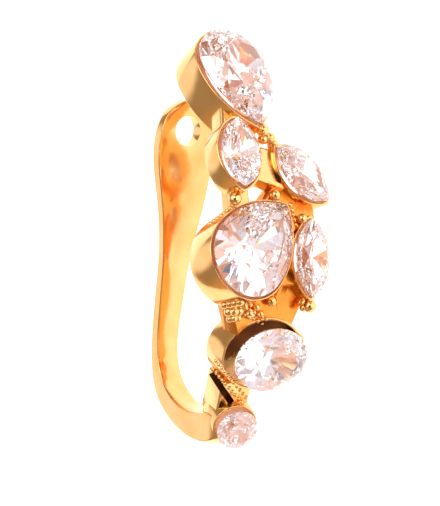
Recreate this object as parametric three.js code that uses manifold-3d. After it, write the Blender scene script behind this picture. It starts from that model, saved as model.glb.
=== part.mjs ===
// Ear cuff: a gold-plated brass clip that bends up behind the ear and carries, in front of it,
// seven clear cubic zirconia stones in tall collets on a curved row.
// Millimetres. It is drawn as it is worn: +X to the right seen from the front, +Z up, the stones
// face -Y. The last step lays the finished cuff on its side, as it rests on a table.

import * as THREE from 'three';
import { LoftGeometry } from 'three/addons/geometries/LoftGeometry.js';
import { ConvexHull } from 'three/addons/math/ConvexHull.js';
import { mergeVertices } from 'three/addons/utils/BufferGeometryUtils.js';
import Module from 'manifold-3d';

// Overall sizes
const cuffHeight = 26;
const cuffDepth = 12;
const bowRadius = 19.5;

// Clip
const paddleWidth = 4.3;
const bandThickness = 0.85;
const bandEdgeRadius = 0.22;
const paddleHole = 1.9;
const earPadRecess = 0.05;
const bandSteps = 44;
const edgeShareOfHalf = 0.8;
const edgeShareOfThickness = 0.45;
const holeSides = 24;

// Collets and seats
const colletBevel = 0.1;
const seatClearance = 0.12;
const seatDepth = 0.5;
const footOpening = 0.45;
const colletSides = 32;

// Stones
const girdleThickness = 0.16;
const tableShare = 0.56;
const crownShare = 0.17;
const pavilionShare = 0.42;
const starShare = 0.77;
const lowerShare = 0.24;
const facetStations = 8;
const sidesPerStation = 6;

// Neck that joins the two lowest collets
const neckWidth = 2.1;
const neckThickness = 2.0;
const neckBehind = 2.2;
const neckTopShift = 1.2;
const neckFootShift = 0.3;
const neckStart = 0.4;

// Dark groove between the neck and the collet above it. Its ends have their places from the oval
// stone, as the beads have, and it opens to the front and left.
const grooveWidth = 0.42;
const grooveDepth = 0.6;
const grooveReach = 1.8;
const grooveStart = [-2.06, -2.04, -2.86];
const grooveEnd = [-0.81, -3.76, -1.60];
const grooveOpens = [-0.57, -0.82, 0];

// Beads
const beadSides = 12;
const beadRings = 7;

// Smallest overlap where one cut runs on into the next
const bite = 0.3;

// One row for each stone and its collet. across and up place the middle of the stone as shares of
// cuffHeight, lift is how far it stands in front of the bow. spin leans its point to the left,
// pitch looks up and turn looks right, in degrees. proud is how far the girdle stands over the rim,
// deep how tall the collet is, rim and foot how far its two ends reach past the girdle, and wall
// how thick its lip is.
const stones = {
  pear_stone_top: {
    cut: 'pear', width: 5.0, length: 7.0, across: -0.004, up: 0.448, lift: 0.3,
    spin: 185, pitch: 31, turn: 0, proud: 0.3, deep: 2.4, rim: 0.18, wall: 0.2, foot: 0.24, open: true,
  },
  marquise_stone_left: {
    cut: 'marquise', width: 2.8, length: 4.6, across: -0.058, up: 0.231, lift: 0.1,
    spin: -7, pitch: 22, turn: 0, proud: 0.2, deep: 1.6, rim: 0.28, wall: 0.2, foot: 0.2, open: true,
  },
  marquise_stone_upper_right: {
    cut: 'marquise', width: 2.8, length: 4.7, across: 0.12, up: 0.183, lift: -0.2,
    spin: 42, pitch: 18, turn: 4, proud: 0.2, deep: 1.8, rim: 0.22, wall: 0.2, foot: 0.2, open: true,
  },
  pear_stone_centre: {
    cut: 'pear', width: 5.2, length: 7.2, across: -0.058, up: -0.012, lift: 0,
    spin: -47, pitch: 14, turn: 0, proud: 0.1, deep: 2.4, rim: 0.24, wall: 0.13, foot: 0.18, open: true,
  },
  marquise_stone_right: {
    cut: 'marquise', width: 2.65, length: 4.9, across: 0.132, up: -0.019, lift: -0.2,
    spin: -2, pitch: 3, turn: 3, proud: 0.2, deep: 1.9, rim: 0.22, wall: 0.2, foot: 0.2, open: true,
  },
  oval_stone: {
    cut: 'oval', width: 5.35, length: 4.1, across: 0.035, up: -0.26, lift: 0.1,
    spin: 0, pitch: -20, turn: 0, proud: 0.95, deep: 2.0, rim: 0.36, wall: 0.2, foot: 0.28, open: false,
  },
  round_stone: {
    cut: 'oval', width: 2.6, length: 2.6, across: 0.002, up: -0.429, lift: 0,
    spin: 0, pitch: -28, turn: -15, proud: 0.5, deep: 2.0, rim: 0.16, wall: 0.2, foot: 0.24, open: false,
  },
};

// Cross-sections of the clip from the top of the paddle down round the bend to the lowest collet.
// up is a share of cuffHeight, back of cuffDepth, half of paddleWidth, thick of bandThickness. flat
// marks the two ends of the straight stretch, whose upper end is the middle of the hole. The last
// ones run in under the lowest stone, and behind is how far they lie behind its girdle.
const clipSections = [
  { up: 0.367, back: 0.753, half: 0.08, thick: 0.75 },
  { up: 0.359, back: 0.755, half: 0.22, thick: 0.9 },
  { up: 0.333, back: 0.761, half: 0.37, thick: 0.95 },
  { up: 0.293, back: 0.77, half: 0.465, thick: 1.0, flat: true },
  { up: 0.246, back: 0.78, half: 0.5, thick: 1.0 },
  { up: 0.199, back: 0.79, half: 0.475, thick: 1.0 },
  { up: 0.152, back: 0.8, half: 0.425, thick: 1.0 },
  { up: 0.105, back: 0.81, half: 0.37, thick: 0.95, flat: true },
  { up: 0.05, back: 0.834, half: 0.31, thick: 0.9 },
  { up: -0.024, back: 0.87, half: 0.25, thick: 0.9 },
  { up: -0.12, back: 0.92, half: 0.215, thick: 1.0 },
  { up: -0.21, back: 0.957, half: 0.195, thick: 1.0 },
  { up: -0.271, back: 0.96, half: 0.195, thick: 1.1 },
  { up: -0.327, back: 0.925, half: 0.2, thick: 1.45 },
  { up: -0.365, back: 0.86, half: 0.21, thick: 1.65 },
  { up: -0.396, back: 0.765, half: 0.225, thick: 1.8 },
  { up: -0.418, back: 0.64, half: 0.25, thick: 2.1 },
  { up: -0.426, behind: 2.615, half: 0.27, thick: 2.5 },
  { up: -0.424, behind: 1.535, half: 0.28, thick: 2.5 },
  { up: -0.426, behind: 0.575, half: 0.24, thick: 1.75 },
];

// Webs that join one collet to the next. behind is how far the middle of the web lies behind the
// girdles, wide and thick are its section.
const webs = [
  { from: 'pear_stone_top', to: 'marquise_stone_left', wide: 2.0, thick: 1.3, behind: 1.1 },
  { from: 'marquise_stone_left', to: 'marquise_stone_upper_right', wide: 2.4, thick: 1.2, behind: 1.1 },
  { from: 'marquise_stone_left', to: 'pear_stone_centre', wide: 1.4, thick: 1.2, behind: 1.1 },
  { from: 'marquise_stone_upper_right', to: 'pear_stone_centre', wide: 2.2, thick: 1.2, behind: 1.1 },
  { from: 'marquise_stone_upper_right', to: 'marquise_stone_right', wide: 2.0, thick: 1.2, behind: 1.1 },
  { from: 'pear_stone_centre', to: 'marquise_stone_right', wide: 3.4, thick: 1.2, behind: 1.3 },
  { from: 'pear_stone_centre', to: 'oval_stone', wide: 3.6, thick: 1.4, behind: 1.4 },
  { from: 'marquise_stone_right', to: 'oval_stone', wide: 2.2, thick: 1.4, behind: 1.4 },
];

// Beads and prongs on the webs and rims. Each has its place from the stone that it sits by: x across
// the stone, y towards its point, z out of its girdle.
const beads = [
  { by: 'marquise_stone_left', x: -0.28, y: -2.8, z: -0.95, radius: 0.42 },
  { by: 'pear_stone_centre', x: -1.02, y: 4.48, z: 0.0, radius: 0.35 },
  { by: 'marquise_stone_right', x: -0.6, y: 2.42, z: -0.3, radius: 0.33 },
  { by: 'pear_stone_centre', x: 3.4, y: -0.05, z: -1.57, radius: 0.34 },
  { by: 'pear_stone_centre', x: 3.02, y: 0.51, z: -1.41, radius: 0.25 },
  { by: 'pear_stone_centre', x: 2.89, y: -1.6, z: -1.98, radius: 0.36 },
  { by: 'marquise_stone_right', x: 0.16, y: -2.95, z: -0.55, radius: 0.42 },
  { by: 'oval_stone', x: 2.52, y: 0.95, z: -0.98, radius: 0.34 },
  { by: 'pear_stone_top', x: -0.28, y: 4.75, z: -0.5, radius: 0.42 },
  { by: 'marquise_stone_upper_right', x: 0.18, y: 2.98, z: -0.3, radius: 0.38 },
  { by: 'pear_stone_top', x: -0.41, y: 5.1, z: -0.95, radius: 0.34 },
  { by: 'marquise_stone_upper_right', x: 0.19, y: 2.52, z: -0.5, radius: 0.36 },
  { by: 'pear_stone_centre', x: 2.3, y: -1.68, z: -1.86, radius: 0.26 },
  { by: 'pear_stone_centre', x: 2.93, y: -1.03, z: -1.81, radius: 0.24 },
  { by: 'oval_stone', x: -0.78, y: 2.65, z: -1.05, radius: 0.22 },
];

const wasm = await Module();
wasm.setup();

const gold = new THREE.MeshStandardMaterial({ color: 0xd9a253, roughness: 0.15, metalness: 1 });
const crystal = new THREE.MeshStandardMaterial({ color: 0xf2eef4, roughness: 0.03, metalness: 0 });

// Booleans

function solidFrom(geometry) {
  const bare = new THREE.BufferGeometry().copy(geometry);
  bare.deleteAttribute('normal');
  bare.deleteAttribute('uv');
  const merged = mergeVertices(bare);
  const mesh = new wasm.Mesh({
    numProp: 3,
    vertProperties: new Float32Array(merged.getAttribute('position').array),
    triVerts: new Uint32Array(merged.getIndex().array),
  });
  return new wasm.Manifold(mesh);
}

function geometryFrom(solid) {
  const mesh = solid.getMesh();
  const geometry = new THREE.BufferGeometry();
  geometry.setAttribute('position', new THREE.BufferAttribute(mesh.vertProperties, 3));
  geometry.setIndex(new THREE.BufferAttribute(mesh.triVerts, 1));
  const flat = geometry.toNonIndexed();
  flat.computeVertexNormals();
  return flat;
}

function union(solids) {
  return solids.reduce((whole, solid) => whole.add(solid));
}

function cutAll(whole, cutters) {
  return cutters.reduce((rest, cutter) => rest.subtract(cutter), whole);
}

// Outlines of the cuts

// Centre offset and radius of the arc that sweeps from the widest place to the point.
function sideArc(halfWidth, tip) {
  const radius = (tip * tip + halfWidth * halfWidth) / (2 * halfWidth);
  return { inset: radius - halfWidth, radius };
}

function pearOutline(width, length, grow) {
  const half = width / 2;
  const arc = sideArc(half, length - half);
  const radius = arc.radius + grow;
  const tipAngle = Math.acos(arc.inset / radius);
  const shape = new THREE.Shape();
  shape.absarc(arc.inset, 0, radius, Math.PI - tipAngle, Math.PI, false);
  shape.absarc(0, 0, half + grow, Math.PI, 2 * Math.PI, false);
  shape.absarc(-arc.inset, 0, radius, 0, tipAngle, false);
  return shape;
}

function marquiseOutline(width, length, grow) {
  const arc = sideArc(width / 2, length / 2);
  const radius = arc.radius + grow;
  const tipAngle = Math.acos(arc.inset / radius);
  const shape = new THREE.Shape();
  shape.absarc(arc.inset, 0, radius, Math.PI - tipAngle, Math.PI + tipAngle, false);
  shape.absarc(-arc.inset, 0, radius, -tipAngle, tipAngle, false);
  return shape;
}

function ovalOutline(width, length, grow) {
  const shape = new THREE.Shape();
  shape.absellipse(0, 0, width / 2 + grow, length / 2 + grow, Math.PI / 2, Math.PI * 2.5, false);
  return shape;
}

const outlines = { pear: pearOutline, marquise: marquiseOutline, oval: ovalOutline };

// Evenly spaced points of a stone's outline, from its point or top round to the left.
function ring(stone, grow, sides, height) {
  const shape = outlines[stone.cut](stone.width, stone.length, grow);
  const points = shape.getSpacedPoints(sides).slice(0, sides);
  return points.map((point) => new THREE.Vector3(point.x, point.y, height));
}

function tower(stone, sides, levels) {
  const sections = levels.map((level) => ring(stone, level.grow, sides, level.height));
  return solidFrom(new LoftGeometry(sections, { capStart: true, capEnd: true }));
}

// Stones

function crownHeight(stone) {
  return crownShare * Math.min(stone.width, stone.length);
}

function pavilionDepth(stone) {
  return pavilionShare * Math.min(stone.width, stone.length);
}

function trimmed(solid, a, b, c) {
  const plane = new THREE.Plane().setFromCoplanarPoints(a, b, c);
  if (plane.distanceToPoint(new THREE.Vector3(0, 0, 0)) < 0) plane.negate();
  return solid.trimByPlane(plane.normal.toArray(), -plane.constant);
}

// Height at which a vertical line meets the plane through three points.
function heightOn(a, b, c, at) {
  const plane = new THREE.Plane().setFromCoplanarPoints(a, b, c);
  const flat = plane.normal.x * at.x + plane.normal.y * at.y + plane.constant;
  return -flat / plane.normal.z;
}

// One side of a brilliant cut: the main facets, and the two smaller ones on either side of each
// place between two mains. top is the table or the culet, at its height over the girdle.
function facetSide(solid, girdle, middle, top) {
  const sides = girdle.length;
  const mains = [];
  for (let station = 0; station < facetStations; station += 1) {
    const index = station * sidesPerStation;
    const corner = girdle[index];
    const along = girdle[(index + 1) % sides].clone().sub(girdle[(index + sides - 1) % sides]);
    const inner = middle.clone().lerp(corner, top.share).setZ(top.height);
    mains.push([corner, corner.clone().add(along), inner]);
  }
  const cut = mains.reduce((rest, points) => trimmed(rest, ...points), solid);
  return mains.reduce((rest, points, station) => {
    const next = mains[(station + 1) % facetStations];
    const between = girdle[station * sidesPerStation + sidesPerStation / 2];
    const star = middle.clone().lerp(between, top.star);
    const heights = [heightOn(...points, star), heightOn(...next, star)];
    star.z = Math.sign(top.height) * Math.min(...heights.map(Math.abs));
    let result = trimmed(rest, star, points[0], between);
    result = trimmed(result, star, between, next[0]);
    return top.share > 0 ? trimmed(result, star, points[2], next[2]) : result;
  }, cut);
}

function cutStone(stone) {
  const sides = facetStations * sidesPerStation;
  const rim = girdleThickness / 2;
  const crown = rim + crownHeight(stone);
  const pavilion = -rim - pavilionDepth(stone);
  const upper = ring(stone, 0, sides, rim);
  const lower = ring(stone, 0, sides, -rim);
  const middle = upper.reduce((sum, point) => sum.add(point), new THREE.Vector3()).divideScalar(sides);
  const block = tower(stone, sides, [{ grow: 0, height: pavilion }, { grow: 0, height: crown }]);
  const crowned = facetSide(block, upper, middle, { height: crown, share: tableShare, star: starShare });
  const culet = middle.clone().setZ(-rim);
  return facetSide(crowned, lower, culet, { height: pavilion, share: 0, star: lowerShare });
}

// Places on the bow

function bowBack(up) {
  return bowRadius * (1 - Math.cos(Math.asin(THREE.MathUtils.clamp(up / bowRadius, -1, 1))));
}

function placeOnBow(stone) {
  const up = stone.up * cuffHeight;
  return new THREE.Vector3(stone.across * cuffHeight, bowBack(up) - stone.lift, up);
}

function facing(stone) {
  const turn = THREE.MathUtils.degToRad(stone.turn);
  const lean = THREE.MathUtils.degToRad(90 - stone.pitch);
  const spin = THREE.MathUtils.degToRad(stone.spin);
  return new THREE.Matrix4()
    .makeRotationZ(turn)
    .multiply(new THREE.Matrix4().makeRotationX(lean))
    .multiply(new THREE.Matrix4().makeRotationZ(spin));
}

function stonePlace(stone) {
  return facing(stone).setPosition(placeOnBow(stone));
}

// Collets

function collet(stone) {
  const rim = -stone.proud;
  return tower(stone, colletSides, [
    { grow: stone.foot, height: rim - stone.deep },
    { grow: stone.rim, height: rim - colletBevel },
    { grow: stone.rim - colletBevel, height: rim },
  ]).transform(stonePlace(stone).toArray());
}

// The seat itself, open to the front past the crown.
function pocket(stone) {
  const crown = girdleThickness / 2 + crownHeight(stone) + bite;
  return tower(stone, colletSides, [
    { grow: seatClearance, height: -stone.proud },
    { grow: seatClearance, height: crown },
  ]).transform(stonePlace(stone).toArray());
}

// The opening inside the wall and under the stone: it narrows to an open foot, or ends just past
// the culet. Its ledge reaches in as far as the pavilion leaves room.
function wellUnder(stone) {
  const half = Math.min(stone.width, stone.length) / 2;
  const ledge = stone.proud + seatDepth;
  const pavilionInset = ((ledge - girdleThickness / 2) * half) / pavilionDepth(stone);
  const ledgeInset = pavilionInset - 2 * seatClearance;
  const foot = stone.proud + stone.deep + bite;
  const culet = girdleThickness / 2 + pavilionDepth(stone) + 2 * seatClearance;
  const footInset = Math.max(half * (1 - footOpening), ledgeInset);
  return union([
    tower(stone, colletSides, [
      { grow: stone.open ? -footInset : -ledgeInset, height: stone.open ? -foot : -culet },
      { grow: -ledgeInset, height: -ledge + seatClearance },
    ]),
    tower(stone, colletSides, [
      { grow: stone.rim - stone.wall, height: -ledge },
      { grow: stone.rim - stone.wall, height: 0 },
    ]),
  ]).transform(stonePlace(stone).toArray());
}

// Clip band

function bandCurve(pick) {
  const points = clipSections.map((section) => new THREE.Vector3(...pick(section)));
  return new THREE.CatmullRomCurve3(points, false, 'catmullrom');
}

// Rounded rectangle of three points a corner, round one place of the band. inner points to the ear.
function bandSection(centre, inner, half, thick) {
  const radius = Math.min(bandEdgeRadius, half * edgeShareOfHalf, thick * edgeShareOfThickness);
  const corners = [[1, 1, 0], [-1, 1, 90], [-1, -1, 180], [1, -1, 270]];
  return corners.flatMap(([side, face, start]) => [0, 45, 90].map((step) => {
    const angle = THREE.MathUtils.degToRad(start + step);
    const x = side * (half - radius) + radius * Math.cos(angle);
    const depth = face * (thick / 2 - radius) + radius * Math.sin(angle);
    return centre.clone().addScaledVector(inner, depth).setX(x);
  }));
}

function sectionDepth(section) {
  return section.back
    ? section.back * cuffDepth
    : placeOnBow(stones.round_stone).y + section.behind;
}

function clipBand() {
  const route = bandCurve((section) => [0, sectionDepth(section), section.up * cuffHeight]);
  const sizes = bandCurve((section) => [section.half * paddleWidth, section.thick * bandThickness, 0]);
  const sections = [];
  for (let step = 0; step <= bandSteps; step += 1) {
    const share = step / bandSteps;
    const along = route.getTangent(share);
    const inner = new THREE.Vector3(0, along.z, -along.y);
    const size = sizes.getPoint(share);
    sections.push(bandSection(route.getPoint(share), inner, size.x, size.y));
  }
  return solidFrom(new LoftGeometry(sections, { capStart: true, capEnd: true }));
}

// Frame of the straight stretch of the paddle: origin at its lower end, z up along it.
function padFrame() {
  const [top, low] = clipSections.filter((section) => section.flat);
  const start = new THREE.Vector3(0, low.back * cuffDepth, low.up * cuffHeight);
  const end = new THREE.Vector3(0, top.back * cuffDepth, top.up * cuffHeight);
  const along = end.clone().sub(start);
  const lean = Math.atan2(-along.y, along.z);
  const frame = new THREE.Matrix4().makeRotationX(lean).setPosition(start);
  return { frame, length: along.length() };
}

// Flattens the inner face of the paddle, where the ear is held.
function earPadCut() {
  const pad = padFrame();
  const face = bandThickness / 2 - earPadRecess;
  const cutter = new THREE.BoxGeometry(paddleWidth, bandThickness, pad.length);
  cutter.translate(0, -face - bandThickness / 2, pad.length / 2);
  return solidFrom(cutter).transform(pad.frame.toArray());
}

function paddleHoleCut() {
  const pad = padFrame();
  const radius = paddleHole / 2;
  const hole = new THREE.CylinderGeometry(radius, radius, 2 * (bandThickness + bite), holeSides);
  hole.translate(0, 0, pad.length);
  return solidFrom(hole).transform(pad.frame.toArray());
}

// Webs, neck and beads

// A block from behind one stone to behind another, with z out to the front.
function between(start, end, front, wide, thick) {
  const along = end.clone().sub(start);
  const side = along.clone().cross(front).normalize();
  const out = side.clone().cross(along).normalize();
  const frame = new THREE.Matrix4().makeBasis(side, along.clone().normalize(), out);
  frame.setPosition(start.clone().lerp(end, 0.5));
  return { box: [wide, along.length(), thick], frame };
}

function behindStone(stone, behind) {
  return new THREE.Vector3(0, 0, -behind).applyMatrix4(stonePlace(stone));
}

function frontOf(a, b) {
  const ahead = new THREE.Vector3(0, 0, 1);
  const faces = [a, b].map((stone) => ahead.clone().transformDirection(stonePlace(stone)));
  return faces[0].add(faces[1]);
}

function web(row) {
  const [a, b] = [stones[row.from], stones[row.to]];
  const [start, end] = [a, b].map((stone) => behindStone(stone, row.behind));
  const place = between(start, end, frontOf(a, b), row.wide, row.thick);
  return solidFrom(new THREE.BoxGeometry(...place.box)).transform(place.frame.toArray());
}

function neck() {
  const [a, b] = [stones.oval_stone, stones.round_stone];
  const end = behindStone(b, neckBehind);
  const start = behindStone(a, neckBehind);
  start.x -= neckTopShift;
  end.x -= neckFootShift;
  start.lerp(end, neckStart);
  const place = between(start, end, frontOf(a, b), neckWidth, neckThickness);
  return solidFrom(new THREE.BoxGeometry(...place.box)).transform(place.frame.toArray());
}

function groove() {
  const place = stonePlace(stones.oval_stone);
  const outward = new THREE.Vector3(...grooveOpens).multiplyScalar((grooveReach - grooveDepth) / 2);
  const [start, end] = [grooveStart, grooveEnd].map((point) =>
    new THREE.Vector3(...point).applyMatrix4(place).add(outward),
  );
  const opens = new THREE.Vector3(...grooveOpens);
  const cut = between(start, end, opens, grooveWidth, grooveReach + grooveDepth);
  return solidFrom(new THREE.BoxGeometry(...cut.box)).transform(cut.frame.toArray());
}

function bead(row) {
  const ball = new THREE.SphereGeometry(row.radius, beadSides, beadRings);
  ball.translate(row.x, row.y, row.z);
  return solidFrom(ball).transform(stonePlace(stones[row.by]).toArray());
}

function cuffBody() {
  const seats = Object.values(stones);
  const band = cutAll(clipBand(), [earPadCut(), paddleHoleCut()]);
  const metal = [band, neck(), ...seats.map(collet), ...webs.map(web), ...beads.map(bead)];
  return cutAll(union(metal), [groove(), ...seats.map(pocket), ...seats.map(wellUnder)]);
}

// Assembly

function wornCuff() {
  const worn = new THREE.Group();
  const body = new THREE.Mesh(geometryFrom(cuffBody()), gold);
  body.name = 'cuff_body';
  worn.add(body);
  for (const [name, stone] of Object.entries(stones)) {
    const mesh = new THREE.Mesh(geometryFrom(cutStone(stone)), crystal);
    mesh.name = name;
    mesh.applyMatrix4(stonePlace(stone));
    worn.add(mesh);
  }
  return worn;
}

function cornersOf(group) {
  group.updateMatrixWorld(true);
  return group.children.flatMap((mesh) => {
    const position = mesh.geometry.getAttribute('position');
    return Array.from({ length: position.count }, (_, index) => (
      new THREE.Vector3().fromBufferAttribute(position, index).applyMatrix4(mesh.matrixWorld)
    ));
  });
}

// Centre of the solid volume: the corners come in threes, one triangle after another.
function centreOfVolume(corners) {
  const centre = new THREE.Vector3();
  let volume = 0;
  for (let index = 0; index < corners.length; index += 3) {
    const [a, b, c] = corners.slice(index, index + 3);
    const share = a.dot(b.clone().cross(c)) / 6;
    volume += share;
    centre.addScaledVector(a.clone().add(b).add(c), share / 4);
  }
  return centre.divideScalar(volume);
}

// The face of the hull that the cuff comes to rest on when it lies on its right side: the one
// straight under its centre of volume.
function restingNormal(corners) {
  const centre = centreOfVolume(corners);
  const down = new THREE.Vector3(1, 0, 0);
  const triangle = new THREE.Triangle();
  const foot = new THREE.Vector3();
  const stable = new ConvexHull().setFromPoints(corners).faces.filter((face) => {
    const edge = face.edge;
    triangle.set(edge.tail().point, edge.head().point, edge.next.head().point);
    triangle.getPlane(new THREE.Plane()).projectPoint(centre, foot);
    return face.normal.dot(down) > 0 && triangle.containsPoint(foot);
  });
  stable.sort((a, b) => b.normal.dot(down) - a.normal.dot(down));
  return stable[0].normal;
}

// Lays the cuff down on that face, long way along +X, over the middle of its footprint.
function layDown(worn) {
  const down = restingNormal(cornersOf(worn));
  const up = down.clone().negate();
  const long = new THREE.Vector3(0, 0, 1);
  long.addScaledVector(up, -long.dot(up)).normalize();
  const rows = new THREE.Matrix4().makeBasis(long, up.clone().cross(long), up).transpose();
  worn.applyMatrix4(rows);
  const box = new THREE.Box3().setFromPoints(cornersOf(worn));
  const middle = box.getCenter(new THREE.Vector3());
  worn.position.sub(new THREE.Vector3(middle.x, middle.y, box.min.z));
  const lying = new THREE.Group();
  lying.add(worn);
  return lying;
}

export default layDown(wornCuff());
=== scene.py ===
# %% [markdown]
# # Dressing an ear cuff
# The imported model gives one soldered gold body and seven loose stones, lying on a table. The stones
# are already cut facet by facet, so they stay and get a better material. The gold is only a plain
# faceted body, so it is replaced by finer metalwork: a clip, seven collets, the webs between them,
# a neck, beads and fine grains.

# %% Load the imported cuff
import math

import bpy
import numpy as np
from mathutils import Matrix, Vector


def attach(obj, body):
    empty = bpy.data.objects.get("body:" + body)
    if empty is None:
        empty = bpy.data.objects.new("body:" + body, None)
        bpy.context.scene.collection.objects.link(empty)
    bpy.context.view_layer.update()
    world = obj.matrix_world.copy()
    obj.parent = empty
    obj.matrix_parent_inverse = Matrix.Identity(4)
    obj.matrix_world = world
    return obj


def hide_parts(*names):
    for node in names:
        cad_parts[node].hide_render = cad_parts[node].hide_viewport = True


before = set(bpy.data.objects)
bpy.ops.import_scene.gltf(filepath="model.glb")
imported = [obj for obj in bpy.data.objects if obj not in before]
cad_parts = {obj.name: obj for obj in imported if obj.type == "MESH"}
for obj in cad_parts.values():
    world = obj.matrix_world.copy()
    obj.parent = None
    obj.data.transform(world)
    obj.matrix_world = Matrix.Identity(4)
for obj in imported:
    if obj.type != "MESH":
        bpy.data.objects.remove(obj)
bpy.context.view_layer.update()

print("packed nodes:", sorted(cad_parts))

# %% [markdown]
# ## Sizes
# The cuff is drawn the way it is worn, in millimetres: +X to the right seen from the front, +Z up,
# the stones towards -Y, and the origin in the middle of the curved row. Each stone has one row in
# a table: its cut and size, its place as shares of the height, how it is turned, and the collet
# that holds it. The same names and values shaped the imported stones.

# %% Sizes of the cuff
MM = 0.001
HEIGHT = 26.0
DEPTH = 12.0
BOW_RADIUS = 19.5
PADDLE_WIDTH = 4.3
BAND_THICKNESS = 0.85
PADDLE_HOLE = 1.9
GIRDLE = 0.16
CROWN_SHARE = 0.17
PAVILION_SHARE = 0.42

STONES = {
    "pear_stone_top": dict(
        cut="pear", width=5.0, length=7.0, across=-0.004, up=0.448, lift=0.3,
        spin=185, pitch=31, turn=0, proud=0.3, deep=2.4, rim=0.18, wall=0.2, foot=0.24,
        seat=0.55),
    "marquise_stone_left": dict(
        cut="marquise", width=2.8, length=4.6, across=-0.058, up=0.231, lift=0.1,
        spin=-7, pitch=22, turn=0, proud=0.2, deep=1.6, rim=0.28, wall=0.2, foot=0.2,
        seat=0.45),
    "marquise_stone_upper_right": dict(
        cut="marquise", width=2.8, length=4.7, across=0.12, up=0.183, lift=-0.2,
        spin=42, pitch=18, turn=4, proud=0.2, deep=1.8, rim=0.22, wall=0.2, foot=0.2,
        seat=0.45),
    "pear_stone_centre": dict(
        cut="pear", width=5.2, length=7.2, across=-0.058, up=-0.012, lift=0,
        spin=-47, pitch=14, turn=0, proud=0.1, deep=2.4, rim=0.24, wall=0.13, foot=0.18,
        seat=0.55),
    "marquise_stone_right": dict(
        cut="marquise", width=2.65, length=4.9, across=0.132, up=-0.019, lift=-0.2,
        spin=-2, pitch=3, turn=3, proud=0.2, deep=1.9, rim=0.22, wall=0.2, foot=0.2,
        seat=0.45),
    "oval_stone": dict(
        cut="oval", width=5.35, length=4.1, across=0.035, up=-0.26, lift=0.1,
        spin=0, pitch=-20, turn=0, proud=0.95, deep=2.0, rim=0.36, wall=0.2, foot=0.28,
        seat=0.95, closed=True),
    "round_stone": dict(
        cut="oval", width=2.6, length=2.6, across=0.002, up=-0.429, lift=0,
        spin=0, pitch=-28, turn=-15, proud=0.5, deep=2.0, rim=0.16, wall=0.2, foot=0.24,
        seat=0.6, closed=True),
}


def on_bow(across, up, front=0.0):
    """A place on the curved row, in worn millimetres. across and up are shares of the height."""
    high = up * HEIGHT
    back = BOW_RADIUS * (1 - math.cos(math.asin(high / BOW_RADIUS)))
    return Vector((across * HEIGHT, back - front, high))


def seat_of(stone):
    """The stone's own axes: x across, y to its point, z out of the girdle to the front."""
    angles = [math.radians(stone[name]) for name in ("turn", "pitch", "spin")]
    turned = Matrix.Rotation(angles[0], 4, "Z")
    leaned = Matrix.Rotation(math.pi / 2 - angles[1], 4, "X")
    spun = Matrix.Rotation(angles[2], 4, "Z")
    place = Matrix.Translation(on_bow(stone["across"], stone["up"], stone["lift"]))
    return place @ turned @ leaned @ spun


# %% [markdown]
# ## From worn to lying
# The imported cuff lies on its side, so every new piece has to make the same move. The move is
# measured, not typed: the table of a stone is its largest flat facet, and on a symmetrical cut
# its middle sits straight over the middle of the girdle. Five such points before and after the
# move give the one turn and shift that carry the first set onto the second.

# %% Measure how the cuff lies
def table_facet(node):
    """Middle and direction of the largest flat facet of a packed stone, in metres."""
    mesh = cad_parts[node].data
    groups = {}
    for face in mesh.polygons:
        key = tuple(round(part, 2) for part in face.normal)
        groups.setdefault(key, []).append(face)
    faces = max(groups.values(), key=lambda group: sum(face.area for face in group))
    area = sum(face.area for face in faces)
    middle = sum((face.center * face.area for face in faces), Vector()) / area
    return middle, faces[0].normal.copy()


def rigid_fit(start, goal):
    """The turn and shift that carry the start points onto the goal points."""
    start_middle, goal_middle = start.mean(0), goal.mean(0)
    u, _, vt = np.linalg.svd((goal - goal_middle).T @ (start - start_middle))
    turn = u @ np.diag([1, 1, round(np.linalg.det(u @ vt))]) @ vt
    shift = Matrix.Translation(Vector(goal_middle))
    return shift @ Matrix(turn).to_4x4() @ Matrix.Translation(-Vector(start_middle))


symmetrical = [name for name, stone in STONES.items() if stone["cut"] != "pear"]
worn_middles = []
lying_middles = []
for name in symmetrical:
    stone = STONES[name]
    middle, normal = table_facet(name)
    crown = GIRDLE / 2 + CROWN_SHARE * min(stone["width"], stone["length"])
    worn_middles.append(seat_of(stone).translation * MM)
    lying_middles.append(middle - normal * crown * MM)
LYING = rigid_fit(np.array(worn_middles), np.array(lying_middles))
misses = [(LYING @ a - b).length for a, b in zip(worn_middles, lying_middles)]
print("the stones meet their places within", round(max(misses) / MM, 4), "mm")
WORN_TO_ROW = LYING @ Matrix.Scale(MM, 4)

# %% [markdown]
# ## Camera first
# The photograph looks level at the worn cuff from 35 degrees to its right. Lying down, the same
# view is a camera above the table, so it is worked out in worn axes and carried over. A long lens
# keeps the parallel look of a product shot.

# %% Camera at the photograph's angle
PHOTO_SIZE = (440, 506)
PIXELS_PER_MM = 16.4
ORIGIN_PIXEL = (270, 250)
CAMERA_TURN = math.radians(35)
CAMERA_DISTANCE = 170.0
SENSOR = 36.0

to_camera = Vector((-math.sin(CAMERA_TURN), -math.cos(CAMERA_TURN), 0))
to_right = Vector((math.cos(CAMERA_TURN), -math.sin(CAMERA_TURN), 0))
right_shift = (ORIGIN_PIXEL[0] - PHOTO_SIZE[0] / 2) / PIXELS_PER_MM
up_shift = (PHOTO_SIZE[1] / 2 - ORIGIN_PIXEL[1]) / PIXELS_PER_MM
aim = -to_right * right_shift - Vector((0, 0, 1)) * up_shift
axes = Matrix((to_right, (0, 0, 1), to_camera)).transposed().to_4x4()
camera_place = LYING @ Matrix.Translation((aim + to_camera * CAMERA_DISTANCE) * MM) @ axes
bpy.ops.object.camera_add()
camera = bpy.context.object
camera.name = "photo_camera"
camera.matrix_world = camera_place
camera.data.sensor_width = SENSOR
camera.data.lens = SENSOR * CAMERA_DISTANCE * PIXELS_PER_MM / max(PHOTO_SIZE)
camera.data.clip_start = 10 * MM
bpy.context.scene.camera = camera
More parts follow.
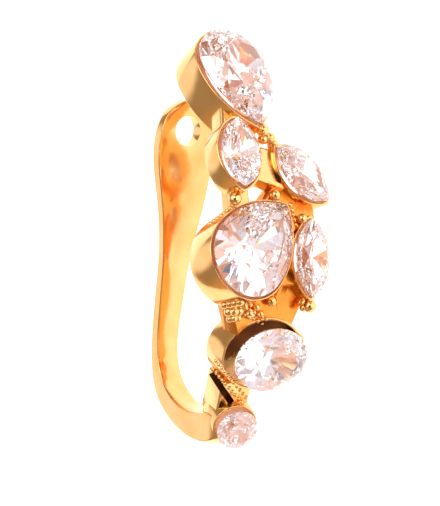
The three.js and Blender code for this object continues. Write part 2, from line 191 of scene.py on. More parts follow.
print("camera", [round(part, 4) for part in camera.location], "lens", round(camera.data.lens, 1))

# %% [markdown]
# ## Node helpers
# Colours are written as on a paint chart, in sRGB hex, and turned to the linear values that the
# renderer adds up. One small function adds a node with its settings and its links.

# %% Colour and node helpers
def linear(hex_colour):
    """sRGB hex to linear red, green, blue, alpha."""
    parts = [int(hex_colour[at:at + 2], 16) / 255 for at in (1, 3, 5)]
    curve = [part / 12.92 if part <= 0.04045 else ((part + 0.055) / 1.055) ** 2.4 for part in parts]
    return (*curve, 1.0)


def add_node(tree, kind, inputs=None, **settings):
    """Adds a node. inputs are values or sockets to link, settings are the node's own choices."""
    node = tree.nodes.new(kind)
    for name, value in settings.items():
        setattr(node, name, value)
    for name, value in (inputs or {}).items():
        if isinstance(value, bpy.types.NodeSocket):
            tree.links.new(value, node.inputs[name])
        else:
            node.inputs[name].default_value = value
    return node


def new_material(name):
    """An empty node material and its tree, with a surface shader linked to the output."""
    material = bpy.data.materials.new(name)
    material.use_nodes = True
    tree = material.node_tree
    tree.nodes.clear()
    shader = add_node(tree, "ShaderNodeBsdfPrincipled")
    add_node(tree, "ShaderNodeOutputMaterial", {"Surface": shader.outputs["BSDF"]})
    return material, tree, shader


def noise_of(tree, size_mm, detail=3.0):
    """Noise on the piece's own coordinates, with blotches of about that size."""
    place = add_node(tree, "ShaderNodeTexCoord").outputs["Object"]
    inputs = {"Vector": place, "Scale": 1 / (size_mm * MM), "Detail": detail}
    return add_node(tree, "ShaderNodeTexNoise", inputs)


# %% [markdown]
# ## Polished gold plate
# The metal is cast brass, tumbled bright and gold plated. Plating is thin and even, so the colour
# hardly changes, but tumbling leaves very slight waves, and handling leaves fine dull patches.
# A metal has no colour of its own but its reflections, which deepen from cream to orange where
# gold mirrors gold. The seats under the stones are rougher and painted a paler, pinker gold, which is
# painted light in the wells. The low webs between the collets are duller and painted a deeper orange
# as painted shade and gold-on-gold reflection, and the groove and the shaded side of the oval stone's
# well are painted dark brown as painted shade.

# %% Gold
PLATE_BLOTCH_MM = 1.8
TUMBLE_WAVE_MM = 0.9
FINE_SCUFF_MM = 0.12


def plated_gold(name, light, deep, roughness, wave):
    material, tree, shader = new_material(name)
    blotch = noise_of(tree, PLATE_BLOTCH_MM)
    colour = add_node(tree, "ShaderNodeValToRGB", {"Fac": blotch.outputs["Fac"]})
    colour.color_ramp.elements[0].color = linear(deep)
    colour.color_ramp.elements[0].position = 0.3
    colour.color_ramp.elements[1].color = linear(light)
    colour.color_ramp.elements[1].position = 0.7
    scuff = noise_of(tree, FINE_SCUFF_MM)
    dull = add_node(tree, "ShaderNodeMapRange", {
        "Value": scuff.outputs["Fac"], "To Min": roughness * 0.7, "To Max": roughness * 1.4})
    waves = noise_of(tree, TUMBLE_WAVE_MM, detail=1.0)
    bump = add_node(tree, "ShaderNodeBump", {
        "Height": waves.outputs["Fac"], "Strength": wave, "Distance": TUMBLE_WAVE_MM * MM})
    tree.links.new(colour.outputs["Color"], shader.inputs["Base Color"])
    tree.links.new(dull.outputs["Result"], shader.inputs["Roughness"])
    tree.links.new(bump.outputs["Normal"], shader.inputs["Normal"])
    shader.inputs["Metallic"].default_value = 1.0
    return material


GOLD = plated_gold("polished_gold_plate", "#F5C988", "#EFB96E", roughness=0.13, wave=0.01)
# Paler, pinker seat gold: painted light that brightens the wells under the stones.
PAINTED_LIGHT_SEAT_GOLD = plated_gold("satin_gold_seat_painted_light", "#F8C6A0", "#F0B48A", roughness=0.4, wave=0.0)
# Rougher web gold with a deeper orange colour: painted shade and painted gold-on-gold reflection.
PAINTED_SHADE_WEB_GOLD = plated_gold("cast_gold_painted_recess_shade", "#E79A44", "#DB8734", roughness=0.22, wave=0.03)
# Dark brown gold: painted shade in the groove and on the shaded side of the oval stone's well.
PAINTED_SHADE_GOLD = plated_gold("dark_gold_painted_shade", "#86522A", "#5A341C", roughness=0.45, wave=0.0)

# %% [markdown]
# ## Cubic zirconia
# The stones are clear cubic zirconia, which bends light almost as strongly as diamond. The flat
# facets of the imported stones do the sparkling, and they need only a clear glass with that high
# index, a breath of warmth, and facets that are polished but lightly worn.

# %% Clear stones
ZIRCONIA_IOR = 2.15
ZIRCONIA_TINT = "#FFFAFA"
FACET_WEAR_MM = 0.5


def clear_zirconia():
    material, tree, shader = new_material("clear_cubic_zirconia")
    wear = noise_of(tree, FACET_WEAR_MM)
    rough = add_node(tree, "ShaderNodeMapRange", {
        "Value": wear.outputs["Fac"], "To Min": 0.0, "To Max": 0.02})
    tree.links.new(rough.outputs["Result"], shader.inputs["Roughness"])
    shader.inputs["Base Color"].default_value = linear(ZIRCONIA_TINT)
    shader.inputs["Transmission Weight"].default_value = 1.0
    shader.inputs["IOR"].default_value = ZIRCONIA_IOR
    return material


ZIRCONIA = clear_zirconia()
for name in STONES:
    stone_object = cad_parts[name]
    stone_object.data.materials.clear()
    stone_object.data.materials.append(ZIRCONIA)
print("stones dressed:", len(STONES))

# %% [markdown]
# ## Working by hand, in code
# Every new piece starts as a primitive and is shaped with the same operators as at the screen.
# An operator acts on all that is selected, so each piece starts with nothing else selected. The
# cuff is so small that pieces are shaped in millimetres, and shrunk to metres as they are placed.

# %% Modelling helpers
def mode(name):
    bpy.ops.object.mode_set(mode=name)


def start_clean():
    if bpy.context.object and bpy.context.object.mode != "OBJECT":
        mode("OBJECT")
    bpy.ops.object.select_all(action="DESELECT")


def pick(piece, faces=None, vertices=None):
    """Selects the faces or vertices of the edited piece that pass a test."""
    bpy.ops.mesh.select_all(action="DESELECT")
    mode("OBJECT")
    for face in piece.data.polygons:
        face.select = bool(faces and faces(face))
    for vertex in piece.data.vertices:
        if vertices:
            vertex.select = bool(vertices(vertex))
    mode("EDIT")


def add_modifier(piece, kind, **settings):
    """Adds a modifier with its settings and applies it."""
    modifier = piece.modifiers.new(kind.lower(), kind)
    for name, value in settings.items():
        setattr(modifier, name, value)
    bpy.ops.object.modifier_apply(modifier=modifier.name)


def make_active(piece):
    start_clean()
    piece.select_set(True)
    bpy.context.view_layer.objects.active = piece


def cut_away(piece, cutter):
    """Cuts the shape of a second object out of the piece, and takes that object away."""
    make_active(piece)
    add_modifier(piece, "BOOLEAN", object=cutter, operation="DIFFERENCE", solver="EXACT")
    bpy.data.objects.remove(cutter)


def place_piece(piece, name, material, second=None, marked=(), smooth_angle=35):
    """Carries a piece from its worn place in millimetres to the table, and hands it over. The
    marked faces get the second material."""
    make_active(piece)
    piece.matrix_world = WORN_TO_ROW @ piece.matrix_world
    bpy.ops.object.transform_apply(location=True, rotation=True, scale=True)
    bpy.ops.object.shade_smooth_by_angle(angle=math.radians(smooth_angle))
    piece.name = name
    piece.data.name = name
    piece.data.materials.clear()
    piece.data.materials.append(material)
    if second:
        piece.data.materials.append(second)
    for index in marked:
        piece.data.polygons[index].material_index = 1
    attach(piece, "root")
    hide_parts("cuff_body")
    print(name, "has", len(piece.data.polygons), "faces")
    return piece


# %% [markdown]
# ## Collets
# A collet is a tapered tube of sheet metal, soldered shut round the stone. Its outline is made of
# the same arcs as the stone's, drawn by spinning one point about each arc's centre. Outlines of
# several sizes are stacked from the foot up to the rim, in over the lip and down to the seat, and
# bridged one to the next. A small bevel on the lip catches the light as the real one's does.

# %% Outline of a stone
ARC_STEPS = 20


def outline_arcs(stone, grow):
    """Start point, and centre, sweep and steps of each arc, counterclockwise from the point."""
    half = stone["width"] / 2
    if stone["cut"] == "oval":
        return Vector((0, half + grow, 0)), [((0, 0, 0), 2 * math.pi, 4 * ARC_STEPS)]
    tip = stone["length"] - half if stone["cut"] == "pear" else stone["length"] / 2
    radius = (tip * tip + half * half) / (2 * half)
    inset = radius - half
    sweep = math.acos(inset / (radius + grow))
    start = Vector((0, (radius + grow) * math.sin(sweep), 0))
    left, right = (inset, 0, 0), (-inset, 0, 0)
    if stone["cut"] == "pear":
        return start, [
            (left, sweep, ARC_STEPS),
            ((0, 0, 0), math.pi, 2 * ARC_STEPS),
            (right, sweep, ARC_STEPS),
        ]
    return start, [(left, 2 * sweep, 2 * ARC_STEPS), (right, 2 * sweep, 2 * ARC_STEPS)]


def draw_outline(stone, grow, height):
    """Draws one closed outline, at that height over the girdle, as an object of its own."""
    start, arcs = outline_arcs(stone, grow)
    start_clean()
    bpy.ops.mesh.primitive_plane_add(size=1)
    mode("EDIT")
    bpy.ops.mesh.select_all(action="SELECT")
    bpy.ops.mesh.merge(type="CENTER")
    bpy.ops.transform.translate(value=start)
    for centre, sweep, steps in arcs:
        bpy.ops.mesh.spin(steps=steps, angle=-sweep, center=centre, axis=(0, 0, 1))
    bpy.ops.mesh.select_all(action="SELECT")
    bpy.ops.mesh.remove_doubles(threshold=0.001)
    if stone["cut"] == "oval":
        longer = (stone["length"] / 2 + grow) / (stone["width"] / 2 + grow)
        bpy.ops.transform.resize(value=(1, longer, 1), center_override=(0, 0, 0))
    bpy.ops.transform.translate(value=(0, 0, height))
    mode("OBJECT")
    return bpy.context.object


def stack_outlines(stone, levels, hollow=True):
    """Bridges an outline for each level to the next. A hollow piece closes from last to first, a
    full one gets a face at either end."""
    loops = [draw_outline(stone, grow, height) for grow, height in levels]
    count = len(loops[0].data.vertices)
    start_clean()
    for loop in loops:
        loop.select_set(True)
    whole = loops[0]
    bpy.context.view_layer.objects.active = whole
    bpy.ops.object.join()
    mode("EDIT")
    for index in range(len(levels) if hollow else len(levels) - 1):
        pair = (index, (index + 1) % len(levels))
        pick(whole, vertices=lambda vertex: vertex.index // count in pair)
        bpy.ops.mesh.bridge_edge_loops()
    for index in () if hollow else (0, len(levels) - 1):
        pick(whole, vertices=lambda vertex: vertex.index // count == index)
        bpy.ops.mesh.edge_face_add()
    bpy.ops.mesh.select_all(action="SELECT")
    bpy.ops.mesh.normals_make_consistent(inside=False)
    mode("OBJECT")
    return whole


# %% Collet round a stone
LIP_BEVEL = 0.06
LIP_FALL = 0.03
LEDGE_RISE = 0.15
LEDGE_REACH = 0.35
FOOT_OPENING = 0.45
WELL_POINT = 0.03
SHADED_FROM = -0.2
CULET_ROOM = 0.4
SHY = 0.03
SEAT_MARGIN = 0.05
PLUG_REACH = 2.0
GROOVE_WIDTH = 0.42
GROOVE_DEPTH = 0.6
GROOVE_REACH = 1.8
GROOVE_ENDS = [(-2.06, -2.04, -2.86), (-0.81, -3.76, -1.6)]
GROOVE_OPENS = (-0.57, -0.82, 0)


def well_levels(stone, grow=0.0):
    """Section of the room inside as (reach past the girdle, height), from the lip to the foot."""
    rim = -stone["proud"]
    ledge = rim - stone["seat"]
    half = min(stone["width"], stone["length"]) / 2
    low = rim - stone["deep"] + LIP_FALL
    levels = [
        (stone["rim"] - stone["wall"] + grow, rim - LIP_FALL),
        (stone["rim"] - stone["wall"] + grow, ledge),
        (-half * LEDGE_REACH + grow, ledge - LEDGE_RISE),
    ]
    if stone.get("closed"):
        return levels + [(-half * (1 - WELL_POINT), -2 * half * PAVILION_SHARE - CULET_ROOM)]
    return levels + [(-half * (1 - FOOT_OPENING) + grow, low)]


def inner_faces(piece, top):
    """Faces below that height which look towards the middle of the stone, or upwards."""
    found = []
    for face in piece.data.polygons:
        flat_centre = Vector((face.center.x, face.center.y, 0))
        inwards = face.normal.dot(flat_centre) < 0 or face.normal.z > 0.5
        inwards = inwards and face.normal.z > -0.5
        if face.center.z < top and inwards:
            found.append(face.index)
    return found


def bar_axes(start, end, front):
    """Axes of a bar: x across it, y along it, z out to the front, and its length."""
    along = end - start
    side = along.cross(front).normalized()
    out = side.cross(along).normalized()
    axes = Matrix((side, along.normalized(), out)).transposed().to_4x4()
    return Matrix.Translation((start + end) / 2) @ axes, along.length


def bar(wide, length, thick):
    start_clean()
    bpy.ops.mesh.primitive_cube_add(size=1)
    mode("EDIT")
    bpy.ops.transform.resize(value=(wide, length, thick), center_override=(0, 0, 0))
    mode("OBJECT")
    return bpy.context.object


def groove_axes():
    outward = Vector(GROOVE_OPENS) * (GROOVE_REACH - GROOVE_DEPTH) / 2
    ends = [seat_of(STONES["oval_stone"]) @ Vector(point) + outward for point in GROOVE_ENDS]
    return bar_axes(*ends, Vector(GROOVE_OPENS))


def groove_cutter():
    axes, length = groove_axes()
    cutter = bar(GROOVE_WIDTH, length, GROOVE_REACH + GROOVE_DEPTH)
    cutter.matrix_world = axes
    return cutter


def groove_faces(piece):
    """Faces that the groove has left in a piece: all their corners lie in the cutter."""
    axes, length = groove_axes()
    to_groove = axes.inverted() @ piece.matrix_world
    limits = [size / 2 + 0.01 for size in (GROOVE_WIDTH, length, GROOVE_REACH + GROOVE_DEPTH)]

    def inside(index):
        place = to_groove @ piece.data.vertices[index].co
        return all(abs(part) < limit for part, limit in zip(place, limits))

    return [face.index for face in piece.data.polygons if all(map(inside, face.vertices))]


def make_collet(name, stone):
    rim = -stone["proud"]
    outside = [(stone["foot"] - SHY, rim - stone["deep"]), (stone["rim"] - SHY, rim)]
    piece = stack_outlines(stone, outside + well_levels(stone), hollow=not stone.get("closed"))
    add_modifier(piece, "BEVEL", width=LIP_BEVEL, segments=3, limit_method="ANGLE",
                 angle_limit=math.radians(50))
    if stone is STONES["oval_stone"]:
        piece.matrix_world = seat_of(stone)
        cut_away(piece, groove_cutter())
        well = inner_faces(piece, rim - LIP_BEVEL - LIP_FALL)
        # The upper half of the oval stone's well and the groove get the dark brown gold: painted
        # shade.
        shaded = [index for index in well if piece.data.polygons[index].center.y > SHADED_FROM]
        place_piece(piece, name, GOLD, PAINTED_SHADE_GOLD, shaded + groove_faces(piece))
    else:
        # The seat faces get the paler, pinker gold: painted light in the well.
        well = inner_faces(piece, rim - stone["seat"] + SEAT_MARGIN)
        piece.matrix_world = seat_of(stone)
        place_piece(piece, name, GOLD, PAINTED_LIGHT_SEAT_GOLD, well)


def make_plug(stone):
    """A solid that fills the well and reaches out where it is open, to cut other metal out."""
    levels = well_levels(stone, SEAT_MARGIN)
    levels.insert(0, (levels[0][0], levels[0][1] + PLUG_REACH))
    if not stone.get("closed"):
        levels.append((levels[-1][0], levels[-1][1] - PLUG_REACH))
    plug = stack_outlines(stone, levels, hollow=False)
    plug.matrix_world = seat_of(stone)
    return plug


for stone_name, stone in STONES.items():
    make_collet(stone_name.replace("stone", "collet"), stone)

# %% [markdown]
# ## Clip
# The clip is one strip of metal that widens to a flat paddle behind the ear and thickens where it
# bends under the lobe. A grid is laid along its route row by row, each row as wide as the strip is
# there, and thickened, less at its edges than in its middle, which gives the faces a soft crown.
# A cylinder cuts the hole in the paddle, and a bevel rounds its edge.

# %% Route and width of the clip
BAND_ROWS = 56
BAND_COLUMNS = 8
CLIP_SECTIONS = [
    dict(up=0.367, back=0.753, half=0.08, thick=0.75),
    dict(up=0.359, back=0.755, half=0.22, thick=0.9),
    dict(up=0.333, back=0.761, half=0.37, thick=0.95),
    dict(up=0.293, back=0.77, half=0.465, thick=1.0),
    dict(up=0.246, back=0.78, half=0.5, thick=1.0),
    dict(up=0.199, back=0.79, half=0.475, thick=1.0),
    dict(up=0.152, back=0.8, half=0.425, thick=1.0),
    dict(up=0.105, back=0.81, half=0.37, thick=0.95),
    dict(up=0.05, back=0.834, half=0.31, thick=0.9),
    dict(up=-0.024, back=0.87, half=0.25, thick=0.9),
    dict(up=-0.12, back=0.92, half=0.215, thick=1.0),
    dict(up=-0.21, back=0.957, half=0.195, thick=1.0),
    dict(up=-0.271, back=0.96, half=0.195, thick=1.1),
    dict(up=-0.327, back=0.925, half=0.2, thick=1.45),
    dict(up=-0.365, back=0.86, half=0.21, thick=1.65),
    dict(up=-0.396, back=0.765, half=0.225, thick=1.8),
    dict(up=-0.418, back=0.64, half=0.25, thick=2.1),
    dict(up=-0.426, back=0.51, half=0.27, thick=2.5),
    dict(up=-0.424, back=0.42, half=0.28, thick=2.5),
    dict(up=-0.426, back=0.34, half=0.24, thick=1.75),
]
HOLE_SECTION = 3
STEPS_A_ROW = 20


def section_values():
    rows = [(s["back"] * DEPTH, s["up"] * HEIGHT, s["half"] * PADDLE_WIDTH, s["thick"])
            for s in CLIP_SECTIONS]
    return np.array(rows)


def smooth_rows(table, count):
    """Values on a smooth curve through the table's rows, evenly spaced along the route."""
    padded = np.vstack([2 * table[0] - table[1], table, 2 * table[-1] - table[-2]])
    fine = []
    for index in range(len(table) - 1):
        a, b, c, d = padded[index:index + 4]
        for t in np.linspace(0, 1, STEPS_A_ROW, endpoint=False):
            fine.append(0.5 * (2 * b + (c - a) * t + (2 * a - 5 * b + 4 * c - d) * t ** 2
                               + (3 * b - a - 3 * c + d) * t ** 3))
    fine = np.array(fine + [table[-1]])
    steps = np.linalg.norm(np.diff(fine[:, :2], axis=0), axis=1)
    travel = np.concatenate([[0], np.cumsum(steps)])
    at = np.linspace(0, travel[-1], count)
    return np.array([np.interp(at, travel, fine[:, column]) for column in range(table.shape[1])]).T


# %% Clip strip
EDGE_ROUND = 0.2
CROWN = [0.8, 0.9, 0.96, 0.99, 1.0, 0.99, 0.96, 0.9, 0.8]
HOLE_BEVEL = 0.1


def lay_strip(rows):
    """A grid with each of its rows moved to its place on the route and set to its width."""
    start_clean()
    bpy.ops.mesh.primitive_grid_add(x_subdivisions=BAND_COLUMNS, y_subdivisions=BAND_ROWS, size=2)
    piece = bpy.context.object
    across = BAND_COLUMNS + 1
    mode("EDIT")
    for index, (back, up, half, thick) in enumerate(rows):
        level = 2 * index / BAND_ROWS - 1
        pick(piece, vertices=lambda vertex: vertex.index // across == index)
        bpy.ops.transform.resize(value=(half - SHY, 1, 1), center_override=(0, level, 0))
        bpy.ops.transform.translate(value=(0, back - level, up))
    mode("OBJECT")
    thickest = max(rows[:, 3])
    group = piece.vertex_groups.new(name="thickness")
    for vertex in piece.data.vertices:
        row, column = divmod(vertex.index, across)
        group.add([vertex.index], rows[row][3] / thickest * CROWN[column], "REPLACE")
    return piece, thickest


def hole_cutter():
    section, below = CLIP_SECTIONS[HOLE_SECTION], CLIP_SECTIONS[HOLE_SECTION + 1]
    place = [Vector((0, s["back"] * DEPTH, s["up"] * HEIGHT)) for s in (section, below)]
    along = (place[0] - place[1]).normalized()
    through = along.cross(Vector((1, 0, 0)))
    start_clean()
    bpy.ops.mesh.primitive_cylinder_add(vertices=64, radius=PADDLE_HOLE / 2, depth=4)
    turned = through.to_track_quat("Z", "Y").to_matrix().to_4x4()
    bpy.context.object.matrix_world = Matrix.Translation(place[0]) @ turned
    return bpy.context.object


def make_clip():
    rows = smooth_rows(section_values(), BAND_ROWS + 1)
    piece, thickest = lay_strip(rows)
    add_modifier(piece, "SOLIDIFY", thickness=BAND_THICKNESS * thickest, offset=0,
                 vertex_group="thickness")
    add_modifier(piece, "BEVEL", width=EDGE_ROUND, segments=2, limit_method="ANGLE",
                 angle_limit=math.radians(60))
    add_modifier(piece, "SUBSURF", levels=2, render_levels=2)
    cut_away(piece, make_plug(STONES["round_stone"]))
    cut_away(piece, hole_cutter())
    add_modifier(piece, "BEVEL", width=HOLE_BEVEL, segments=4, limit_method="ANGLE",
                 angle_limit=math.radians(55))
    return place_piece(piece, "clip", GOLD)


make_clip()

# %% [markdown]
# ## Webs and neck
# Short bars of the same casting run behind the stones and join one collet to the next. Each is a
# cube stretched between two stones, rounded with a bevel, and cut off where it would run into the
# wells under the stones. The neck that carries the lowest stone is the same bar, with the groove
# cut across its upper corner and its faces painted dark brown as painted shade.

# %% Bars between the collets
WEBS = [
    ("pear_stone_top", "marquise_stone_left", 2.0, 1.3, 1.1),
    ("marquise_stone_left", "marquise_stone_upper_right", 2.4, 1.2, 1.1),
    ("marquise_stone_left", "pear_stone_centre", 1.4, 1.2, 1.1),
    ("marquise_stone_upper_right", "pear_stone_centre", 2.2, 1.2, 1.1),
    ("marquise_stone_upper_right", "marquise_stone_right", 2.0, 1.2, 1.1),
    ("pear_stone_centre", "marquise_stone_right", 3.4, 1.2, 1.3),
    ("pear_stone_centre", "oval_stone", 3.6, 1.4, 1.4),
    ("marquise_stone_right", "oval_stone", 2.2, 1.4, 1.4),
]
# Webs after these get the deeper orange gold, which is painted shade.
PLAIN_GOLD_WEBS = 3
WEB_ROUND = 0.22


def behind(stone, depth):
    return seat_of(stone) @ Vector((0, 0, -depth))


def front_of(*chosen):
    return sum((seat_of(stone).to_3x3() @ Vector((0, 0, 1)) for stone in chosen), Vector())


def make_web(number, row):
    first, second, wide, thick, depth = row
    ends = [STONES[first], STONES[second]]
    axes, length = bar_axes(*[behind(stone, depth) for stone in ends], front_of(*ends))
    piece = bar(wide, length, thick)
    add_modifier(piece, "BEVEL", width=WEB_ROUND, segments=4)
    piece.matrix_world = axes
    for stone in ends:
        cut_away(piece, make_plug(stone))
    # The low webs get the deeper orange gold: painted shade and painted reflection.
    return place_piece(piece, f"web_{number}", PAINTED_SHADE_WEB_GOLD if number > PLAIN_GOLD_WEBS else GOLD)


for number, row in enumerate(WEBS, start=1):
    make_web(number, row)

# %% Neck with its groove
NECK_WIDTH = 2.1
NECK_THICKNESS = 2.0
NECK_BEHIND = 2.2
NECK_SHIFTS = (1.2, 0.3)
NECK_START = 0.4
NECK_ROUND = 0.12


def make_neck():
    upper, lower = STONES["oval_stone"], STONES["round_stone"]
    start = behind(upper, NECK_BEHIND) - Vector((NECK_SHIFTS[0], 0, 0))
    end = behind(lower, NECK_BEHIND) - Vector((NECK_SHIFTS[1], 0, 0))
    axes, length = bar_axes(start.lerp(end, NECK_START), end, front_of(upper, lower))
    piece = bar(NECK_WIDTH, length, NECK_THICKNESS)
    add_modifier(piece, "BEVEL", width=NECK_ROUND, segments=3)
    piece.matrix_world = axes
    for stone in (upper, lower):
        cut_away(piece, make_plug(stone))
    cut_away(piece, groove_cutter())
    # The groove's faces get the dark brown gold: painted shade.
    return place_piece(piece, "neck", GOLD, PAINTED_SHADE_GOLD, groove_faces(piece))


make_neck()

# %% [markdown]
# ## Beads
# Small cast beads sit where the webs meet the collets. Each is a sphere of its own, set on the
# axes of its stone.

# %% Beads
BEADS = [
    ("marquise_stone_left", -0.28, -2.8, -0.95, 0.42),
    ("pear_stone_centre", -1.02, 4.48, 0.0, 0.35),
    ("marquise_stone_right", -0.6, 2.42, -0.3, 0.33),
    ("pear_stone_centre", 3.4, -0.05, -1.57, 0.34),
    ("pear_stone_centre", 3.02, 0.51, -1.41, 0.25),
    ("pear_stone_centre", 2.89, -1.6, -1.98, 0.36),
    ("marquise_stone_right", 0.16, -2.95, -0.55, 0.42),
    ("oval_stone", 2.52, 0.95, -0.98, 0.34),
    ("pear_stone_top", -0.28, 4.75, -0.5, 0.42),
    ("marquise_stone_upper_right", 0.18, 2.98, -0.3, 0.38),
    ("pear_stone_top", -0.41, 5.1, -0.95, 0.34),
    ("marquise_stone_upper_right", 0.19, 2.52, -0.5, 0.36),
    ("pear_stone_centre", 2.3, -1.68, -1.86, 0.26),
    ("pear_stone_centre", 2.93, -1.03, -1.81, 0.24),
    ("oval_stone", -0.78, 2.65, -1.05, 0.22),
]


def make_bead(number, row):
    owner, across, along, out, radius = row
    start_clean()
    bpy.ops.mesh.primitive_uv_sphere_add(segments=32, ring_count=20, radius=radius)
    piece = bpy.context.object
    piece.matrix_world = seat_of(STONES[owner]) @ Matrix.Translation((across, along, out))
    return place_piece(piece, f"bead_{number}", GOLD)


for number, row in enumerate(BEADS, start=1):
    make_bead(number, row)

# %% [markdown]
# ## Granulation
# Fine grains of gold fill the corners between the collets. Their rows are read off the photograph:
# each grain is dropped along the photographer's line of sight onto the metal under it. Grains that
# would land on a stone or beside the cuff are left out, and the rest are joined into one piece.

# %% Rows of grains
GRAIN_ROWS = [
    dict(start=(216, 361), end=(246, 397), count=11, radius=0.15),
    dict(start=(211, 366), end=(241, 402), count=11, radius=0.15),
    dict(start=(258, 125), end=(277, 147), count=7, radius=0.14),
    dict(start=(238, 304), end=(266, 319), count=8, radius=0.14),
    dict(start=(236, 311), end=(262, 323), count=7, radius=0.14),
    dict(start=(225, 305), end=(240, 302), count=4, radius=0.29),
    dict(start=(229, 312), end=(239, 311), count=3, radius=0.33),
    dict(start=(230, 319), end=(238, 318), count=3, radius=0.25),
    dict(start=(234, 308), end=(250, 305), count=4, radius=0.2),
    dict(start=(300, 303), end=(313, 323), count=5, radius=0.24),
    dict(start=(211, 224), end=(234, 206), count=8, radius=0.18),
    dict(start=(290, 205), end=(296, 225), count=5, radius=0.17),
]
CAD_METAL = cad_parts["cuff_body"]
GRAIN_SINK = 0.3
SIGHT_STEP_MM = 0.01


def metal_under(pixel):
    """Place in worn millimetres where the sight line through a pixel of the photo meets metal."""
    across = (pixel[0] - ORIGIN_PIXEL[0]) / PIXELS_PER_MM
    high = (ORIGIN_PIXEL[1] - pixel[1]) / PIXELS_PER_MM
    start = WORN_TO_ROW @ (aim + to_camera * CAMERA_DISTANCE)
    goal = WORN_TO_ROW @ (to_right * across + Vector((0, 0, high)))
    sight = (goal - start).normalized()
    graph = bpy.context.evaluated_depsgraph_get()
    hit, place, _, _, target, _ = bpy.context.scene.ray_cast(graph, start, sight)
    while hit and target.name == CAD_METAL.name:
        hit, place, _, _, target, _ = bpy.context.scene.ray_cast(
            graph, place + sight * SIGHT_STEP_MM * MM, sight)
    if not hit or target.name in STONES:
        return None
    return WORN_TO_ROW.inverted() @ place


def make_grains():
    grains = []
    for row in GRAIN_ROWS:
        for share in np.linspace(0, 1, row["count"]):
            pixel = np.array(row["start"]) * (1 - share) + np.array(row["end"]) * share
            place = metal_under(pixel)
            if place:
                grains.append((place - to_camera * row["radius"] * GRAIN_SINK, row["radius"]))
    start_clean()
    balls = []
    for place, radius in grains:
        bpy.ops.mesh.primitive_uv_sphere_add(segments=16, ring_count=10, radius=radius, location=place)
        balls.append(bpy.context.object)
    for ball in balls:
        ball.select_set(True)
    bpy.ops.object.join()
    print("grains dropped on the metal:", len(grains))
    return place_piece(bpy.context.object, "grains", GOLD)


make_grains()

# %% [markdown]
# ## Floor and light
# The cuff lies on a white acrylic sheet that is lit from below, as small jewellery often is, so its
# shadow stays faint. Polished gold shows only what it mirrors: the room has bright panels in front
# and behind, a warm darker side below, and the dark lens. The stones gather light from all round,
# so what is seen through them is kept apart: a pale room with a few grey panels that make the
# dark shards of a cut stone.

# %% Floor
FLOOR_GRAIN_MM = 0.6
FLOOR_GLOW = 0.95

bpy.ops.object.select_all(action="DESELECT")
bpy.ops.mesh.primitive_plane_add(size=2)
floor = bpy.context.object
floor.name = "floor"
floor_material, floor_tree, floor_shader = new_material("lit_white_acrylic")
grain = noise_of(floor_tree, FLOOR_GRAIN_MM)
tone = add_node(floor_tree, "ShaderNodeValToRGB", {"Fac": grain.outputs["Fac"]})
tone.color_ramp.elements[0].color = linear("#DEDCDA")
tone.color_ramp.elements[1].color = linear("#E4E2E0")
floor_tree.links.new(tone.outputs["Color"], floor_shader.inputs["Base Color"])
floor_shader.inputs["Roughness"].default_value = 0.9
floor_shader.inputs["Emission Color"].default_value = linear("#FAFAFF")
floor_shader.inputs["Emission Strength"].default_value = FLOOR_GLOW
floor.data.materials.append(floor_material)

# %% Room
ROOM = dict(colour="#F4DCC4", strength=0.46)
PANELS = [
    dict(side=(-0.574, 0.819, 0.05), reach=12, soft=12, colour="#F6F0F6", strength=1.35),
    dict(side=(-1.0, -0.25, 0.35), reach=24, soft=16, colour="#F6F0F6", strength=1.9),
    dict(side=(0.1, -1.0, 0.2), reach=24, soft=14, colour="#F6F4FF", strength=2.0),
    dict(side=(-0.25, 0.2, -1.0), reach=16, soft=26, colour="#DDB284", strength=1.0),
    dict(side=(-0.574, -0.819, 0.0), reach=14, soft=10, colour="#2A1408", strength=0.12),
]
STONE_ROOM = dict(colour="#EFE8F0", strength=0.84)
STONE_PANELS = [
    dict(side=(-0.8, -0.5, 0.4), reach=56, soft=10, colour="#EBAA8A", strength=1.0),
    dict(side=(-0.574, -0.819, 0.0), reach=6, soft=4, colour="#6A7086", strength=0.6),
    dict(side=(0.2, -0.6, 0.8), reach=9, soft=5, colour="#9AA0B4", strength=0.8),
    dict(side=(-0.9, -0.3, -0.3), reach=8, soft=5, colour="#9AA0B4", strength=0.8),
    dict(side=(-0.35, -0.9, 0.3), reach=12, soft=6, colour="#FAF6FF", strength=1.2),
]


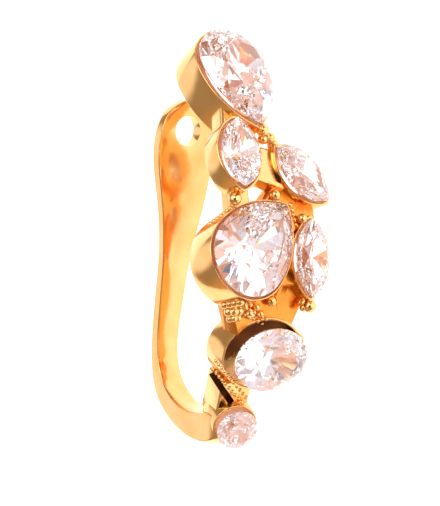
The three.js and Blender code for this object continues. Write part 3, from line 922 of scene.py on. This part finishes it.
def room_colour(tree, room, panels):
    """Colour of a room by direction. A panel has a side in worn axes, a reach and a soft edge."""
    place = add_node(tree, "ShaderNodeTexCoord").outputs["Generated"]
    base = add_node(tree, "ShaderNodeRGB")
    base.outputs[0].default_value = [part * room["strength"] for part in linear(room["colour"])]
    colour = base.outputs[0]
    for panel in panels:
        side = (LYING.to_3x3() @ Vector(panel["side"])).normalized()
        facing = add_node(tree, "ShaderNodeVectorMath", operation="DOT_PRODUCT")
        tree.links.new(place, facing.inputs[0])
        facing.inputs[1].default_value = side
        share = add_node(tree, "ShaderNodeMapRange", {
            "Value": facing.outputs["Value"],
            "From Min": math.cos(math.radians(panel["reach"] + panel["soft"])),
            "From Max": math.cos(math.radians(panel["reach"]))},
            interpolation_type="SMOOTHSTEP")
        mix = add_node(tree, "ShaderNodeMix", data_type="RGBA")
        tree.links.new(share.outputs["Result"], mix.inputs[0])
        tree.links.new(colour, mix.inputs[6])
        mix.inputs[7].default_value = [part * panel["strength"] for part in linear(panel["colour"])]
        colour = mix.outputs[2]
    return colour


def light_room():
    world = bpy.data.worlds.new("pale_room")
    bpy.context.scene.world = world
    world.use_nodes = True
    tree = world.node_tree
    tree.nodes.clear()
    path = add_node(tree, "ShaderNodeLightPath")
    mix = add_node(tree, "ShaderNodeMix", data_type="RGBA")
    tree.links.new(path.outputs["Is Transmission Ray"], mix.inputs[0])
    tree.links.new(room_colour(tree, ROOM, PANELS), mix.inputs[6])
    tree.links.new(room_colour(tree, STONE_ROOM, STONE_PANELS), mix.inputs[7])
    background = add_node(tree, "ShaderNodeBackground", {"Color": mix.outputs[2]})
    add_node(tree, "ShaderNodeOutputWorld", {"Surface": background.outputs["Background"]})


light_room()


KEY_SIDE = (-0.8, -0.6, 0.6)
KEY_DISTANCE_M = 0.4
KEY_SIZE_M = (0.2, 0.2)
KEY_WATTS = 0.25


def add_panel(name, direction, distance, size, power):
    """A soft white light panel that faces the cuff. direction is in worn axes."""
    towards = (LYING.to_3x3() @ Vector(direction)).normalized()
    bpy.ops.object.light_add(type="AREA", location=towards * distance)
    panel = bpy.context.object
    panel.name = name
    panel.rotation_euler = towards.to_track_quat("Z", "Y").to_euler()
    panel.data.shape = "RECTANGLE"
    panel.data.size, panel.data.size_y = size
    panel.data.energy = power
    return panel


add_panel("key_panel", KEY_SIDE, KEY_DISTANCE_M, KEY_SIZE_M, KEY_WATTS)
bpy.context.scene.view_settings.view_transform = "Standard"
bpy.context.scene.cycles.max_bounces = 24
bpy.context.scene.cycles.glossy_bounces = 20
bpy.context.scene.cycles.transmission_bounces = 20
